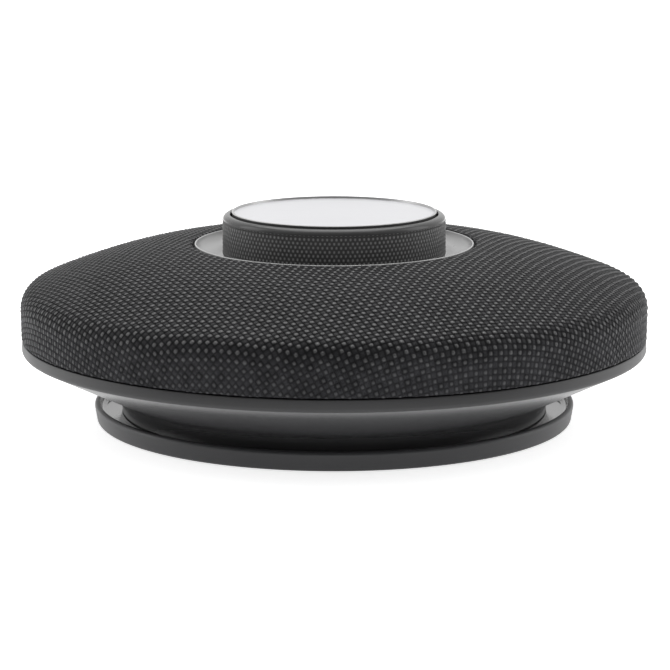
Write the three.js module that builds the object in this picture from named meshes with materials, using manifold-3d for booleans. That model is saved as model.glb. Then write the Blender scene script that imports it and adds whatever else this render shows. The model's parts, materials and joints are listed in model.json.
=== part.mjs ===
// A portable loudspeaker: a round, fabric-covered body with an upright rim and a low domed top, a satin and
// gloss lower casing that narrows to a neck, and a dished foot. A large volume dial turns in a silver dish
// at the top, and the plate in the middle of the dial is a press button.
//
// Millimetres, +Z up. The origin is at the middle of the surface that the rubber foot pad stands on.
// The ports and the two small buttons are at the back, at +Y.

import * as THREE from 'three';
import { mergeVertices } from 'three/addons/utils/BufferGeometryUtils.js';
import Module from 'manifold-3d';

const wasm = await Module();
wasm.setup();

// ---------------------------------------------------------------- driving dimensions

const BODY_RADIUS = 90;          // widest radius of the fabric and of the band below it
const GAP = 0.3;                 // clearance between neighbouring pieces

// Foot
const FOOT_BOTTOM = 0.5;         // the plastic foot stands this far clear of the surface
const FOOT_BOTTOM_RADIUS = 68.6;
const FOOT_LIP_RADIUS = 69.5;
const FOOT_LIP_TOP = 6;
const FOOT_FLOOR = 3.2;          // top of the foot's dished floor
const PAD_INNER_RADIUS = 48;
const PAD_OUTER_RADIUS = 64;
const PAD_THICKNESS = 1.6;

// Lower casing
const SEAM_Z = 24.8;             // where the casing meets the fabric
const SEAM_RADIUS = 89.7;
const BAND_BOTTOM = 21.6;        // lower edge of the satin band
const CONE_SLOPE = THREE.MathUtils.degToRad(26);
const NECK_RADIUS = 61.4;
const COVE_RADIUS = 6;           // hollow curve between the neck and the cone above it
const CASING_WALL = 2.2;
const CASING_FLOOR_TOP = 5.9;
const SHELF_Z = 23.9;            // the gasket lies on this shelf
const SHELF_INNER_RADIUS = 81.5;

// Outer line of the fabric: an upright wall, a round shoulder and a domed crown
const WALL_TOP = 33.6;
const SHOULDER_RADIUS = 7.1;
const CROWN_SLOPE = THREE.MathUtils.degToRad(21.9);
const CROWN_OUTER_PULL = 10.2;   // length of the crown curve's handle at the shoulder
const CROWN_INNER_PULL = 17.5;   // and at the rim of the recess
const RIM_SLOPE = THREE.MathUtils.degToRad(1.5);
const RIM_RADIUS = 40.65;
const RIM_Z = 51.45;
const FABRIC_THICKNESS = 0.9;
const GRILLE_THICKNESS = 1.9;

// Recess, dial and press plate
const DISH_RADIUS = 40.1;
const DISH_FLOOR = 47.5;
const DISH_FLOOR_RADIUS = 34;
const DISH_THICKNESS = 2;
const DIAL_RADIUS = 32.1;
const DIAL_OPENING_RADIUS = 29.9;
const DIAL_BOTTOM = 48.2;
const DIAL_TOP = 59.9;
const DIAL_BEVEL = 1.3;
const HUB_RADIUS = 23.8;
const HUB_BORE_RADIUS = 20.6;
const HUB_BOTTOM = 41.4;
const PLATE_RADIUS = 29.4;
const PLATE_TOP = 60.6;
const PLATE_THICKNESS = 1.5;
const PRESS_TRAVEL = 0.8;

// Chassis, and the drivers on its sloping baffle
const DECK_TOP = 38.5;
const DECK_THICKNESS = 2;
const BAFFLE_SLOPE = THREE.MathUtils.degToRad(17);
const BAFFLE_THICKNESS = 2.3;
const DRIVER_DISTANCE = 64;      // from the axis to the middle of each driver
const DRIVER_HEIGHT = 40.4;      // height of the baffle there
const FLANGE_RADIUS = 18.5;
const BASKET_RADIUS = 15.5;

// Battery
const CELL_RADIUS = 9.1;
const CELL_LENGTH = 65;
const CELL_Z = 16.4;
const CELL_SPACING = 19.4;

// Ports at the back
const PORT_HALF_WIDTH = 26.5;
const PORT_BOTTOM = 18.6;
const PORT_TOP = 23.4;
const PANEL_Y = 84;              // outer face of the rear panel
const PANEL_THICKNESS = 1.8;
const BUTTON_X = 15;
const BUTTON_WIDTH = 8;
const BUTTON_HEIGHT = 3;
const BUTTON_TRAVEL = 0.6;
const BUTTON_Z = 21.4;

// Screws
const FOOT_SCREW_CIRCLE = 42;
const CHASSIS_SCREW_CIRCLE = 54;
const POST_TOP = 23.8;

// Number of flat sides that stand in for a circle
const SIDES_LARGE = 48;
const SIDES_MEDIUM = 16;
const SIDES_SMALL = 8;

const QUARTER_TURN = Math.PI / 2;

// ---------------------------------------------------------------- materials

const FINISH = {
  fabric: { color: 0x333436, roughness: 0.95, metalness: 0 },
  satinBlack: { color: 0x3a3a3c, roughness: 0.45, metalness: 0 },
  glossBlack: { color: 0x1d1d1f, roughness: 0.12, metalness: 0 },
  innerBlack: { color: 0x232324, roughness: 0.7, metalness: 0 },
  silver: { color: 0xc4c5c8, roughness: 0.32, metalness: 0.9 },
  plate: { color: 0xe4e4e6, roughness: 0.28, metalness: 0.85 },
  rubber: { color: 0x1b1b1b, roughness: 0.9, metalness: 0 },
  steel: { color: 0x9a9ca0, roughness: 0.35, metalness: 1 },
  magnet: { color: 0x4a4c50, roughness: 0.5, metalness: 0.7 },
  paper: { color: 0x151515, roughness: 0.85, metalness: 0 },
  board: { color: 0x14502e, roughness: 0.55, metalness: 0 },
  cell: { color: 0x2a5fa8, roughness: 0.4, metalness: 0 },
  bearing: { color: 0xe8e6df, roughness: 0.5, metalness: 0 },
  lamp: { color: 0xdfe6ea, roughness: 0.2, metalness: 0 },
  flex: { color: 0xb9782f, roughness: 0.5, metalness: 0 },
};

// ---------------------------------------------------------------- solids

const point = (r, z) => new THREE.Vector2(r, z);
const polar = (length, angle) => point(length * Math.cos(angle), length * Math.sin(angle));

// A closed solid from a three.js geometry: shared vertices are merged, collapsed triangles are dropped,
// and the faces are turned outwards.
function toSolid(geometry) {
  const bare = geometry.clone();
  bare.deleteAttribute('normal');
  bare.deleteAttribute('uv');
  const merged = mergeVertices(bare, 1e-4);
  const places = merged.attributes.position;
  const source = merged.index.array;
  const corners = [];
  let volume = 0;
  const a = new THREE.Vector3();
  const b = new THREE.Vector3();
  const c = new THREE.Vector3();
  for (let i = 0; i < source.length; i += 3) {
    const [p, q, r] = [source[i], source[i + 1], source[i + 2]];
    if (p === q || q === r || r === p) {
      continue;
    }
    corners.push(p, q, r);
    a.fromBufferAttribute(places, p);
    b.fromBufferAttribute(places, q);
    c.fromBufferAttribute(places, r);
    volume += a.dot(b.cross(c));
  }
  if (volume < 0) {
    corners.reverse();
  }
  const mesh = new wasm.Mesh({
    numProp: 3,
    vertProperties: Float32Array.from(places.array),
    triVerts: Uint32Array.from(corners),
  });
  return new wasm.Manifold(mesh);
}

// A ring or disc turned about the Z axis from an outline of (radius, height) points.
// The outline closes on itself, or it starts and ends on the axis.
function turned(outline, sides) {
  const points = [...outline];
  const first = points[0];
  const last = points[points.length - 1];
  if (first.x > 0 || last.x > 0) {
    points.push(first.clone());
  }
  const geometry = new THREE.LatheGeometry(points, sides);
  geometry.rotateX(QUARTER_TURN);
  return toSolid(geometry);
}

function ring(innerRadius, outerRadius, bottom, top, sides) {
  const outline = [
    point(innerRadius, bottom),
    point(outerRadius, bottom),
    point(outerRadius, top),
    point(innerRadius, top),
  ];
  return turned(outline, sides);
}

// A cylinder along Z, with its middle line at (x, y).
function rod(radius, bottom, top, sides, x = 0, y = 0) {
  const geometry = new THREE.CylinderGeometry(radius, radius, top - bottom, sides);
  geometry.rotateX(QUARTER_TURN);
  geometry.translate(x, y, (bottom + top) / 2);
  return toSolid(geometry);
}

// A box between two corners.
function block(low, high) {
  const size = high.map((value, i) => value - low[i]);
  const middle = high.map((value, i) => (value + low[i]) / 2);
  const geometry = new THREE.BoxGeometry(...size);
  geometry.translate(...middle);
  return toSolid(geometry);
}

// A slab with round ends that lies along X and points along Y, as a button cap or a socket does.
function slot(width, height, x, z, yLow, yHigh, radius = height / 2) {
  const outline = new THREE.Shape();
  const halfWidth = width / 2 - radius;
  const halfHeight = height / 2 - radius;
  outline.absarc(halfWidth, halfHeight, radius, 0, QUARTER_TURN);
  outline.absarc(-halfWidth, halfHeight, radius, QUARTER_TURN, 2 * QUARTER_TURN);
  outline.absarc(-halfWidth, -halfHeight, radius, 2 * QUARTER_TURN, 3 * QUARTER_TURN);
  outline.absarc(halfWidth, -halfHeight, radius, 3 * QUARTER_TURN, 4 * QUARTER_TURN);
  const geometry = new THREE.ExtrudeGeometry(outline, {
    depth: yHigh - yLow,
    bevelEnabled: false,
    curveSegments: 3,
  });
  geometry.rotateX(QUARTER_TURN);
  geometry.translate(x, yHigh, z);
  return toSolid(geometry);
}

// Points along a circular arc in an outline, both ends included.
function arc(centre, radius, startAngle, endAngle, steps) {
  const points = [];
  for (let i = 0; i <= steps; i += 1) {
    const angle = startAngle + ((endAngle - startAngle) * i) / steps;
    points.push(point(centre.x + radius * Math.cos(angle), centre.y + radius * Math.sin(angle)));
  }
  return points;
}

// The same line moved sideways by a distance, to the left of its direction when the distance is positive.
function offsetLine(points, distance) {
  return points.map((here, i) => {
    const before = points[Math.max(i - 1, 0)];
    const after = points[Math.min(i + 1, points.length - 1)];
    const along = after.clone().sub(before).normalize();
    return point(here.x - along.y * distance, here.y + along.x * distance);
  });
}

// ---------------------------------------------------------------- the object

const speaker = new THREE.Group();
speaker.name = 'portable_speaker';

function addMesh(name, solid, finish, parent = speaker) {
  const source = solid.getMesh();
  const geometry = new THREE.BufferGeometry();
  geometry.setAttribute('position', new THREE.BufferAttribute(source.vertProperties, 3));
  geometry.setIndex(new THREE.BufferAttribute(source.triVerts, 1));
  const flat = geometry.toNonIndexed();
  flat.computeVertexNormals();
  const mesh = new THREE.Mesh(flat, new THREE.MeshStandardMaterial(FINISH[finish]));
  mesh.name = name;
  parent.add(mesh);
  return mesh;
}

// ---------------------------------------------------------------- foot

const FOOT_GROOVE_TOP = FOOT_BOTTOM + PAD_THICKNESS - 0.2;

function screwPlaces(circle, firstAngle) {
  return [0, 1, 2, 3].map((i) => {
    const angle = firstAngle + i * QUARTER_TURN;
    return { x: circle * Math.cos(angle), y: circle * Math.sin(angle) };
  });
}

const FOOT_SCREWS = screwPlaces(FOOT_SCREW_CIRCLE, 0);
const CHASSIS_SCREWS = screwPlaces(CHASSIS_SCREW_CIRCLE, QUARTER_TURN / 2);
const SCREW_HEAD_RADIUS = 2.7;
const SHANK_RADIUS = 1.4;
const SCREW_HOLE_RADIUS = 1.7;
const FOOT_COUNTERBORE_TOP = 2.1;
const FOOT_BOSS_TOP = 10;

// A dished plate: an upright lip outside, a hollow curve inside it, and a groove below for the rubber pad.
function makeFootBase() {
  const lipInnerRadius = FOOT_LIP_RADIUS - 1.6;
  const lipRounding = 1;
  const outline = [
    point(0, FOOT_BOTTOM),
    point(PAD_INNER_RADIUS - GAP, FOOT_BOTTOM),
    point(PAD_INNER_RADIUS - GAP, FOOT_GROOVE_TOP),
    point(PAD_OUTER_RADIUS + GAP, FOOT_GROOVE_TOP),
    point(PAD_OUTER_RADIUS + GAP, FOOT_BOTTOM),
    point(FOOT_BOTTOM_RADIUS - 0.7, FOOT_BOTTOM),
    point(FOOT_BOTTOM_RADIUS, FOOT_BOTTOM + 0.7),
    ...arc(point(FOOT_LIP_RADIUS - lipRounding, FOOT_LIP_TOP - lipRounding), lipRounding, 0, QUARTER_TURN, 2),
    point(lipInnerRadius, FOOT_LIP_TOP),
    ...arc(point(lipInnerRadius - 2, FOOT_FLOOR + 2), 2, 0, -QUARTER_TURN, 3),
    point(0, FOOT_FLOOR),
  ];
  let foot = turned(outline, SIDES_LARGE);
  for (const { x, y } of FOOT_SCREWS) {
    foot = foot.subtract(rod(SCREW_HEAD_RADIUS + GAP, 0, FOOT_COUNTERBORE_TOP, SIDES_SMALL, x, y));
    foot = foot.subtract(rod(SCREW_HOLE_RADIUS, 0, FOOT_FLOOR + 1, SIDES_SMALL, x, y));
  }
  return foot;
}

// A pan-head screw that points up, with its head at the bottom.
function makeScrew(headBottom, headHeight, top, x, y) {
  const shoulder = headBottom + headHeight;
  const outline = [
    point(0, headBottom),
    point(SCREW_HEAD_RADIUS, headBottom),
    point(SCREW_HEAD_RADIUS, shoulder),
    point(SHANK_RADIUS, shoulder),
    point(SHANK_RADIUS, top),
    point(0, top),
  ];
  const slotHalfWidth = 0.4;
  const slotHalfLength = 1.7;
  const driveSlot = block(
    [-slotHalfLength, -slotHalfWidth, headBottom - 1],
    [slotHalfLength, slotHalfWidth, headBottom + 0.8],
  );
  return turned(outline, SIDES_SMALL).subtract(driveSlot).translate([x, y, 0]);
}

addMesh('foot_pad', ring(PAD_INNER_RADIUS, PAD_OUTER_RADIUS, 0, PAD_THICKNESS, SIDES_LARGE), 'rubber');
addMesh('foot_base', makeFootBase(), 'satinBlack');
FOOT_SCREWS.forEach(({ x, y }, i) => {
  addMesh(`foot_screw_${i + 1}`, makeScrew(FOOT_BOTTOM + 0.1, 1.4, FOOT_BOSS_TOP - 1.2, x, y), 'steel');
});

// ---------------------------------------------------------------- lower casing

const CONE_FALL = Math.tan(CONE_SLOPE);
const coneHeight = (radius) => BAND_BOTTOM - (BODY_RADIUS - radius) * CONE_FALL;
const INNER_RISE = CASING_WALL / Math.cos(CONE_SLOPE);

// The outside of the casing from the foot of the neck up to the fabric seam.
function casingOuterLine() {
  const turn = QUARTER_TURN - CONE_SLOPE;
  const coveCentre = point(
    NECK_RADIUS + COVE_RADIUS,
    coneHeight(NECK_RADIUS) - COVE_RADIUS * Math.tan(turn / 2),
  );
  return [
    point(NECK_RADIUS, FOOT_FLOOR + GAP),
    ...arc(coveCentre, COVE_RADIUS, Math.PI, Math.PI - turn, 4),
    point(BODY_RADIUS - 0.6, coneHeight(BODY_RADIUS - 0.6)),
    point(BODY_RADIUS, BAND_BOTTOM + 0.2),
    point(SEAM_RADIUS, SEAM_Z),
  ];
}

function makeLowerCasing() {
  const outer = casingOuterLine();
  const wallInnerRadius = SEAM_RADIUS - 2.4;
  const neckInnerRadius = NECK_RADIUS - CASING_WALL;
  const shell = turned([
    point(0, FOOT_FLOOR + GAP),
    ...outer,
    point(wallInnerRadius, SEAM_Z),
    point(wallInnerRadius, SHELF_Z),
    point(SHELF_INNER_RADIUS, SHELF_Z),
    point(SHELF_INNER_RADIUS, coneHeight(SHELF_INNER_RADIUS) + INNER_RISE),
    point(neckInnerRadius + 2, coneHeight(neckInnerRadius + 2) + INNER_RISE),
    point(neckInnerRadius, CASING_FLOOR_TOP + 2),
    point(neckInnerRadius - 2, CASING_FLOOR_TOP),
    point(0, CASING_FLOOR_TOP),
  ], SIDES_LARGE);
  const filled = turned([point(0, FOOT_FLOOR + GAP), ...outer, point(0, SEAM_Z)], SIDES_LARGE);

  // a solid block behind the ports, trimmed to the outside of the casing, with a straight passage in it
  const portBlock = block(
    [-PORT_HALF_WIDTH - 3, 76, 13],
    [PORT_HALF_WIDTH + 3, BODY_RADIUS + 1, SHELF_Z],
  ).intersect(filled);
  let casing = shell.add(portBlock);
  casing = casing.subtract(block(
    [-PORT_HALF_WIDTH, 70, PORT_BOTTOM],
    [PORT_HALF_WIDTH, BODY_RADIUS + 2, PORT_TOP],
  ));

  for (const { x, y } of FOOT_SCREWS) {
    casing = casing.add(rod(3.8, CASING_FLOOR_TOP - 1, FOOT_BOSS_TOP, SIDES_SMALL, x, y));
    casing = casing.subtract(rod(SCREW_HOLE_RADIUS, 0, FOOT_BOSS_TOP - 0.8, SIDES_SMALL, x, y));
  }
  for (const { x, y } of CHASSIS_SCREWS) {
    casing = casing.add(rod(4.6, CASING_FLOOR_TOP - 1, POST_TOP, SIDES_SMALL, x, y));
    casing = casing.subtract(rod(SCREW_HEAD_RADIUS + GAP, 0, POST_TOP - 5.8, SIDES_SMALL, x, y));
    casing = casing.subtract(rod(SCREW_HOLE_RADIUS, 0, POST_TOP + 1, SIDES_SMALL, x, y));
  }
  return casing;
}

addMesh('lower_casing', makeLowerCasing(), 'glossBlack');
const CHASSIS_BOTTOM = SEAM_Z + GAP;
const GASKET_CLEARANCE = 0.15;
addMesh('casing_gasket', ring(
  82, 86.6, SHELF_Z + GASKET_CLEARANCE, CHASSIS_BOTTOM - GASKET_CLEARANCE, SIDES_LARGE,
), 'rubber');

// ---------------------------------------------------------------- chassis

const BAFFLE_FALL = Math.tan(BAFFLE_SLOPE);
const baffleHeight = (radius) => DRIVER_HEIGHT + (DRIVER_DISTANCE - radius) * BAFFLE_FALL;

// Places a piece that is drawn upright at the middle of the driver hole at an angle round the body.
function mountOnBaffle(angle) {
  const around = new THREE.Group();
  around.rotation.z = angle;
  const tilted = new THREE.Group();
  tilted.position.set(DRIVER_DISTANCE, 0, DRIVER_HEIGHT);
  tilted.rotation.y = BAFFLE_SLOPE;
  around.add(tilted);
  speaker.add(around);
  speaker.updateMatrixWorld(true);
  return tilted;
}

const RIGHT = 0;
const REAR = QUARTER_TURN;
const LEFT = 2 * QUARTER_TURN;
const FRONT = 3 * QUARTER_TURN;
const seats = new Map([RIGHT, REAR, LEFT, FRONT].map((angle) => [angle, mountOnBaffle(angle)]));

const FLEX_Y = -30;
const FLEX_WIDTH = 8;

function makeChassis() {
  const wallRadius = 83.5;
  const recessWallRadius = 44.4;
  const recessWall = 2.2;
  const drop = BAFFLE_THICKNESS / Math.cos(BAFFLE_SLOPE);
  const outline = [
    point(6, DECK_TOP),
    point(recessWallRadius - recessWall, DECK_TOP),
    point(recessWallRadius - recessWall, baffleHeight(recessWallRadius)),
    point(recessWallRadius, baffleHeight(recessWallRadius)),
    point(wallRadius, baffleHeight(wallRadius)),
    point(wallRadius, CHASSIS_BOTTOM + 2),
    point(86.6, CHASSIS_BOTTOM + 2),
    point(86.6, CHASSIS_BOTTOM),
    point(wallRadius - 2, CHASSIS_BOTTOM),
    point(wallRadius - 2, baffleHeight(wallRadius - 2) - drop),
    point(recessWallRadius, baffleHeight(recessWallRadius) - drop),
    point(recessWallRadius, DECK_TOP - DECK_THICKNESS),
    point(6, DECK_TOP - DECK_THICKNESS),
  ];
  let chassis = turned(outline, SIDES_LARGE);
  for (const { x, y } of CHASSIS_SCREWS) {
    const top = baffleHeight(CHASSIS_SCREW_CIRCLE) - 1;
    chassis = chassis.add(rod(3.8, POST_TOP + GAP, top, SIDES_SMALL, x, y));
    chassis = chassis.subtract(rod(SCREW_HOLE_RADIUS, POST_TOP, POST_TOP + 13, SIDES_SMALL, x, y));
  }
  for (const seat of seats.values()) {
    const hole = new THREE.CylinderGeometry(BASKET_RADIUS + GAP, BASKET_RADIUS + GAP, 12, SIDES_MEDIUM);
    hole.rotateX(QUARTER_TURN);
    hole.applyMatrix4(seat.matrixWorld);
    chassis = chassis.subtract(toSolid(hole));
  }
  const halfSlot = FLEX_WIDTH / 2 + 0.6;
  return chassis.subtract(block(
    [-halfSlot, FLEX_Y - 0.8, DECK_TOP - DECK_THICKNESS - 1],
    [halfSlot, FLEX_Y + 0.8, DECK_TOP + 1],
  ));
}

addMesh('driver_chassis', makeChassis(), 'innerBlack');
CHASSIS_SCREWS.forEach(({ x, y }, i) => {
  addMesh(`chassis_screw_${i + 1}`, makeScrew(POST_TOP - 8, 1.9, POST_TOP + 11, x, y), 'steel');
});

// ---------------------------------------------------------------- fabric and the grille below it

// The outside of the fabric, from the seam up and in to the rim of the recess.
function fabricOuterLine() {
  const shoulderCentre = point(BODY_RADIUS - SHOULDER_RADIUS, WALL_TOP);
  const shoulder = arc(shoulderCentre, SHOULDER_RADIUS, 0, QUARTER_TURN - CROWN_SLOPE, 3);
  const start = shoulder[shoulder.length - 1];
  const end = point(RIM_RADIUS, RIM_Z);
  const outerHandle = polar(CROWN_OUTER_PULL, Math.PI - CROWN_SLOPE);
  const innerHandle = polar(CROWN_INNER_PULL, -RIM_SLOPE);
  const crown = new THREE.CubicBezierCurve(
    start,
    start.clone().add(outerHandle),
    end.clone().add(innerHandle),
    end,
  );
  return [
    point(SEAM_RADIUS - 0.1, SEAM_Z + GAP),
    ...shoulder,
    ...crown.getPoints(5).slice(1),
  ];
}

function layer(outerDepth, innerDepth) {
  const line = fabricOuterLine();
  return [...offsetLine(line, outerDepth), ...offsetLine(line, innerDepth).reverse()];
}

const GRILLE_DEPTH = FABRIC_THICKNESS + 0.2;
const SLOT_COUNT = 12;

function makeGrille() {
  let grille = turned(layer(GRILLE_DEPTH, GRILLE_DEPTH + GRILLE_THICKNESS), SIDES_LARGE);
  for (let i = 0; i < SLOT_COUNT; i += 1) {
    const cutter = new THREE.BoxGeometry(30, 5, 40);
    cutter.translate(64, 0, 48);
    cutter.rotateZ(((i + 0.5) / SLOT_COUNT) * 2 * Math.PI);
    grille = grille.subtract(toSolid(cutter));
  }
  return grille;
}

addMesh('grille_shell', makeGrille(), 'innerBlack');
addMesh('fabric_cover', turned(layer(0, FABRIC_THICKNESS), SIDES_LARGE), 'fabric');

// ---------------------------------------------------------------- recess dish and volume dial

const BEARING_RADIUS = 25.7;

function makeDish() {
  const rimInnerRadius = DISH_RADIUS - 0.5;
  const run = rimInnerRadius - DISH_FLOOR_RADIUS;
  const rise = RIM_Z - 0.1 - DISH_FLOOR;
  const bowl = [];
  for (let i = 0; i <= 4; i += 1) {
    const angle = (i / 4) * QUARTER_TURN;
    bowl.push(point(DISH_FLOOR_RADIUS + run * Math.sin(angle), DISH_FLOOR + rise * (1 - Math.cos(angle))));
  }
  const skirtRadius = 38.2;
  const under = DISH_FLOOR - DISH_THICKNESS;
  return turned([
    point(BEARING_RADIUS + GAP, DISH_FLOOR),
    ...bowl,
    point(DISH_RADIUS, RIM_Z - 0.1),
    point(DISH_RADIUS, DISH_FLOOR - 0.5),
    point(skirtRadius, under),
    point(skirtRadius, DECK_TOP + GAP),
    point(skirtRadius - 2, DECK_TOP + GAP),
    point(skirtRadius - 2, under),
    point(BEARING_RADIUS + GAP, under),
  ], SIDES_LARGE);
}

function makeBearing() {
  return turned([
    point(HUB_RADIUS + GAP, DISH_FLOOR - 3),
    point(BEARING_RADIUS, DISH_FLOOR - 3),
    point(BEARING_RADIUS, DISH_FLOOR + 0.2),
    point(BEARING_RADIUS + 2.6, DISH_FLOOR + 0.2),
    point(BEARING_RADIUS + 2.6, DISH_FLOOR + 0.9),
    point(HUB_RADIUS + GAP, DISH_FLOOR + 0.9),
  ], SIDES_LARGE);
}

const WEB_BOTTOM = 50.2;
const WEB_TOP = 52;

// The grip ring, a flat web inside it, and a hub that runs down through the dish.
function makeDial() {
  return turned([
    point(HUB_BORE_RADIUS, HUB_BOTTOM),
    point(HUB_RADIUS, HUB_BOTTOM),
    point(HUB_RADIUS, WEB_BOTTOM),
    point(DIAL_OPENING_RADIUS - 0.3, WEB_BOTTOM),
    point(DIAL_OPENING_RADIUS - 0.3, DIAL_BOTTOM),
    point(DIAL_RADIUS - 0.4, DIAL_BOTTOM),
    point(DIAL_RADIUS, DIAL_BOTTOM + 0.4),
    ...arc(point(DIAL_RADIUS - DIAL_BEVEL, DIAL_TOP - DIAL_BEVEL), DIAL_BEVEL, 0, QUARTER_TURN, 3),
    point(DIAL_OPENING_RADIUS + 0.3, DIAL_TOP),
    point(DIAL_OPENING_RADIUS, DIAL_TOP - 0.3),
    point(DIAL_OPENING_RADIUS, WEB_TOP),
    point(HUB_BORE_RADIUS, WEB_TOP),
  ], SIDES_LARGE);
}

addMesh('recess_dish', makeDish(), 'silver');
addMesh('dial_bearing', makeBearing(), 'bearing');
addMesh('volume_knob', makeDial(), 'satinBlack');
addMesh('magnet_ring', ring(HUB_RADIUS + GAP, 27.5, HUB_BOTTOM, HUB_BOTTOM + 2.2, SIDES_LARGE), 'magnet');
addMesh('encoder_board', ring(20, 34, DECK_TOP + 0.6, DECK_TOP + 1.6, SIDES_MEDIUM), 'board');
addMesh('hall_sensor', block([24.3, -1.5, DECK_TOP + 1.7], [27.3, 1.5, DECK_TOP + 2.5]), 'innerBlack');

// ---------------------------------------------------------------- press plate in the middle of the dial

const POST_RADIUS = 19.6;
const POST_ROOF_TOP = 52.2;
const POST_ROOF_BOTTOM = 50.2;
const STEM_RADIUS = 2.6;
const STEM_BOTTOM = 47.9;
const CARRIER_TOP = PLATE_TOP - PLATE_THICKNESS - GAP;
const CARRIER_BOTTOM = CARRIER_TOP - 1.7;
const SWITCH_BOARD_Z = 44;

function makeButtonPost() {
  const bore = STEM_RADIUS + 0.4;
  return turned([
    point(bore, POST_ROOF_BOTTOM),
    point(POST_RADIUS - 2.2, POST_ROOF_BOTTOM),
    point(POST_RADIUS - 2.2, DECK_TOP + GAP),
    point(POST_RADIUS, DECK_TOP + GAP),
    point(POST_RADIUS, POST_ROOF_TOP),
    point(bore, POST_ROOF_TOP),
  ], SIDES_MEDIUM);
}

function makeCarrier() {
  return turned([
    point(0, STEM_BOTTOM),
    point(STEM_RADIUS, STEM_BOTTOM),
    point(STEM_RADIUS, CARRIER_BOTTOM),
    point(PLATE_RADIUS - 0.2, CARRIER_BOTTOM),
    point(PLATE_RADIUS - 0.2, CARRIER_TOP),
    point(0, CARRIER_TOP),
  ], SIDES_LARGE);
}

function makeTopPlate() {
  const bottom = PLATE_TOP - PLATE_THICKNESS;
  return turned([
    point(0, bottom),
    point(PLATE_RADIUS, bottom),
    point(PLATE_RADIUS, PLATE_TOP - 0.4),
    point(PLATE_RADIUS - 0.4, PLATE_TOP),
    point(0, PLATE_TOP),
  ], SIDES_LARGE);
}

class Helix extends THREE.Curve {
  constructor(radius, bottom, top, turns) {
    super();
    this.radius = radius;
    this.bottom = bottom;
    this.top = top;
    this.turns = turns;
  }

  getPoint(t, target = new THREE.Vector3()) {
    const angle = t * this.turns * 2 * Math.PI;
    const height = this.bottom + (this.top - this.bottom) * t;
    return target.set(this.radius * Math.cos(angle), this.radius * Math.sin(angle), height);
  }
}

function makeSpring() {
  const wireRadius = 0.35;
  const turns = 3.5;
  const section = new THREE.Shape();
  for (let i = 0; i < 5; i += 1) {
    const angle = (i / 5) * 2 * Math.PI;
    const [x, y] = [wireRadius * Math.cos(angle), wireRadius * Math.sin(angle)];
    if (i === 0) {
      section.moveTo(x, y);
    } else {
      section.lineTo(x, y);
    }
  }
  section.closePath();
  const low = POST_ROOF_TOP + wireRadius + 0.2;
  const high = CARRIER_BOTTOM - wireRadius - 0.2;
  const geometry = new THREE.ExtrudeGeometry(section, {
    steps: Math.round(turns * 12),
    bevelEnabled: false,
    extrudePath: new Helix(5, low, high, turns),
  });
  return toSolid(geometry);
}

addMesh('button_post', makeButtonPost(), 'innerBlack');
addMesh('press_carrier', makeCarrier(), 'innerBlack');
addMesh('top_plate', makeTopPlate(), 'plate');
addMesh('return_spring', makeSpring(), 'steel');
addMesh('switch_board', rod(POST_RADIUS - 2.8, SWITCH_BOARD_Z, SWITCH_BOARD_Z + 1, SIDES_MEDIUM), 'board');
addMesh('dome_switch', rod(3, SWITCH_BOARD_Z + 1.2, STEM_BOTTOM - PRESS_TRAVEL - 0.1, SIDES_SMALL), 'steel');

// ---------------------------------------------------------------- drivers and passive radiators

// Pieces on the baffle are drawn upright, with height 0 at the face of the baffle.
function makeBasket() {
  return turned([
    point(BASKET_RADIUS - 1.2, 1.2),
    point(8, -7.4),
    point(8, -8.6),
    point(9.5, -8.6),
    point(BASKET_RADIUS, -1),
    point(BASKET_RADIUS, GAP),
    point(FLANGE_RADIUS, GAP),
    point(FLANGE_RADIUS, 1.8),
    point(BASKET_RADIUS - 1.2, 1.8),
  ], SIDES_MEDIUM);
}

function makeMagnet() {
  return turned([
    point(0, -16.5),
    point(10.4, -16.5),
    point(11, -15.9),
    point(11, -9.5),
    point(10.4, -8.9),
    point(0, -8.9),
  ], SIDES_MEDIUM);
}

function makeCone() {
  return turned([
    point(0, -3.2),
    point(3.8, -4.6),
    point(5, -4.4),
    point(11.9, 1.1),
    point(11.9, 1.7),
    point(4.6, -3.5),
    point(2.4, -2.2),
    point(0, -1.8),
  ], SIDES_MEDIUM);
}

function makeSurround(innerRadius, outerRadius) {
  const rollRadius = (outerRadius - innerRadius) / 2;
  const centre = point((innerRadius + outerRadius) / 2, 0.9);
  return turned([
    ...arc(centre, rollRadius, 0, Math.PI, 3),
    ...arc(centre, rollRadius - 0.5, Math.PI, 0, 3),
  ], SIDES_MEDIUM);
}

function makeRadiatorFrame() {
  return turned([
    point(BASKET_RADIUS - 1.2, -4),
    point(BASKET_RADIUS, -4),
    point(BASKET_RADIUS, GAP),
    point(FLANGE_RADIUS, GAP),
    point(FLANGE_RADIUS, 1.8),
    point(BASKET_RADIUS - 1.2, 1.8),
  ], SIDES_MEDIUM);
}

const SURROUND_OUTER = BASKET_RADIUS - 1.5;
for (const [side, angle] of [['right', RIGHT], ['left', LEFT]]) {
  const seat = seats.get(angle);
  addMesh(`driver_${side}_basket`, makeBasket(), 'innerBlack', seat);
  addMesh(`driver_${side}_magnet`, makeMagnet(), 'magnet', seat);
  addMesh(`driver_${side}_cone`, makeCone(), 'paper', seat);
  addMesh(`driver_${side}_surround`, makeSurround(12.2, SURROUND_OUTER), 'rubber', seat);
}
for (const [side, angle] of [['front', FRONT], ['rear', REAR]]) {
  const seat = seats.get(angle);
  addMesh(`radiator_${side}_frame`, makeRadiatorFrame(), 'innerBlack', seat);
  addMesh(`radiator_${side}_surround`, makeSurround(10.6, SURROUND_OUTER), 'rubber', seat);
  addMesh(`radiator_${side}_weight`, rod(10.3, 0.4, 1.8, SIDES_MEDIUM), 'steel', seat);
}

// ---------------------------------------------------------------- battery

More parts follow.
